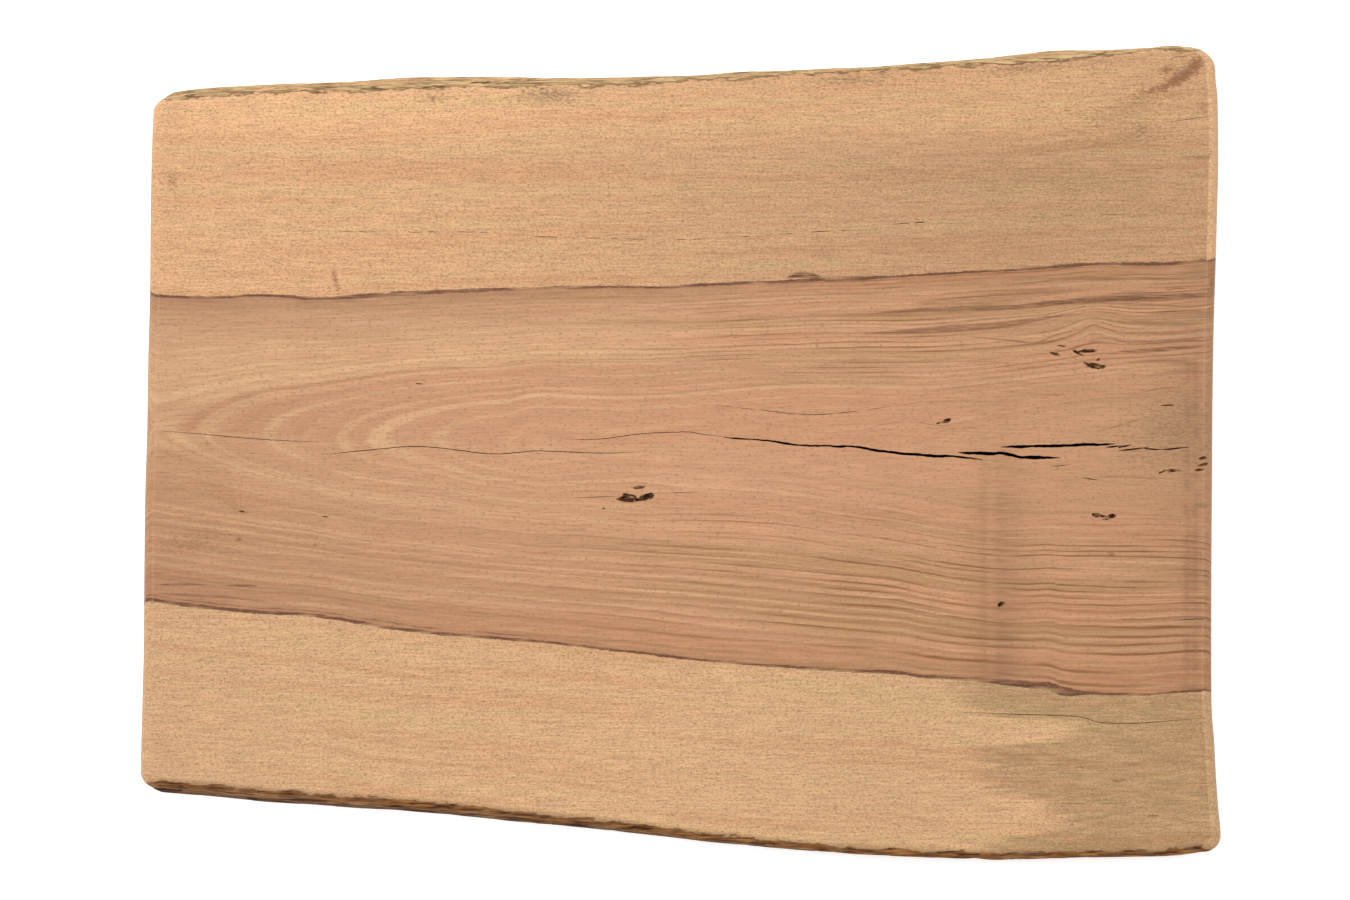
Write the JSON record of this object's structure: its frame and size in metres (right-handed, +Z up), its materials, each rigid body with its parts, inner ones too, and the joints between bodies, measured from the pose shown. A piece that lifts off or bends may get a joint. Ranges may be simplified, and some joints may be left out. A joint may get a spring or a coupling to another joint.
{
  "type": "mango wood tabletop",
  "caption": "Solid mango wood tabletop slab with grown live edges along the grain, rounded sawn ends, open cracks along the heart and small knot pits.",
  "frame": {"origin": "middle of the slab's bounding box in plan, on the flat underside", "axes": "+X along the grain and the length, +Y across the grain, +Z up out of the top face"},
  "size_m": [1.1994, 0.9092, 0.05],
  "materials": {
    "mango_wood": "oiled, satin, with live edges left rough"
  },
  "bodies": {
    "root": {"tabletop": "mango_wood"}
  },
  "joints": []
}
